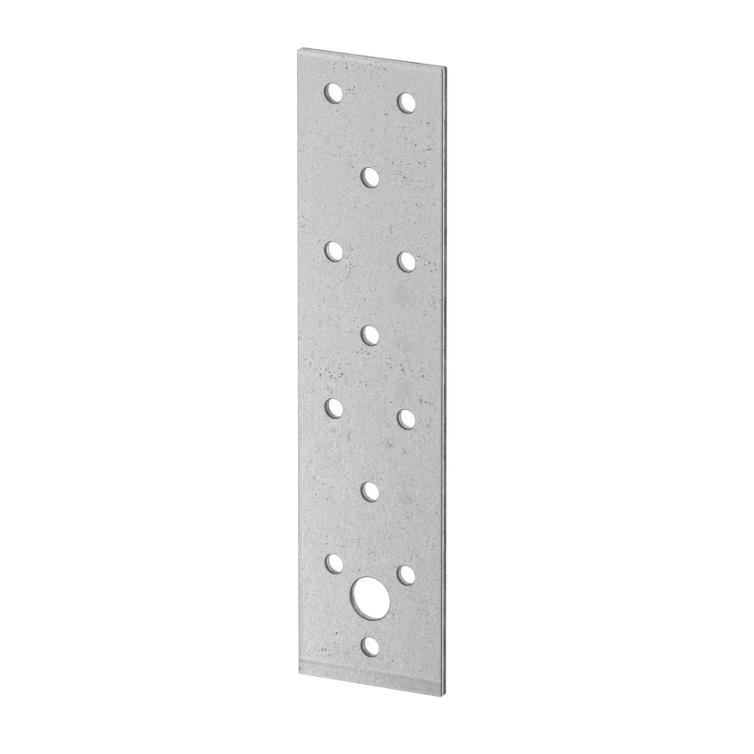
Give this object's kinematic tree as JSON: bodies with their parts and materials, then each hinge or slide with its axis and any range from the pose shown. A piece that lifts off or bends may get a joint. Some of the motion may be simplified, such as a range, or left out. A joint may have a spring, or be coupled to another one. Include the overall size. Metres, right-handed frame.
{
  "type": "mending plate",
  "caption": "Flat rectangular mending plate with staggered nail holes and a larger bolt hole near an end, for joining timber side by side or end to end.",
  "frame": {"origin": "middle of the back face, which lies on the surface below", "axes": "+X across the plate, +Y along it to the end away from the bolt hole, +Z out of the front face"},
  "size_m": [0.04, 0.16, 0.0025],
  "materials": {
    "zinc_coated_steel": "hot-dip zinc coated, satin grey with fine rolling streaks and small dark pits; cut edges bare and darker"
  },
  "bodies": {
    "root": {"plate": "zinc_coated_steel"}
  },
  "joints": []
}
